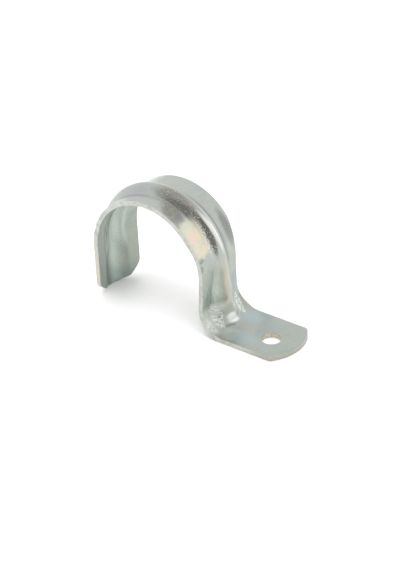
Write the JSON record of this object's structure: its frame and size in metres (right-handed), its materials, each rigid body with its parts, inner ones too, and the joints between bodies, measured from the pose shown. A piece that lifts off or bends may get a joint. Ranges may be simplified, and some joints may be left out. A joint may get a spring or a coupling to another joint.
{
  "type": "conduit strap",
  "caption": "One-piece zinc-plated steel strap: a ribbed arch that drops over a conduit, with a flat foot pierced by one screw hole on one side and a free leg on the other.",
  "frame": {"origin": "on the conduit's axis, in the middle of the strap's width", "axes": "+X from the conduit towards the foot, +Y along the conduit, +Z away from the wall; the wall face lies at z = -20 mm"},
  "size_m": [0.0765, 0.021, 0.044],
  "materials": {
    "zinc_plate": "bright zinc plating, satin, with scuffs at the foot's bend and pale sheared edges"
  },
  "bodies": {
    "root": {"strap": "zinc_plate"}
  },
  "joints": []
}
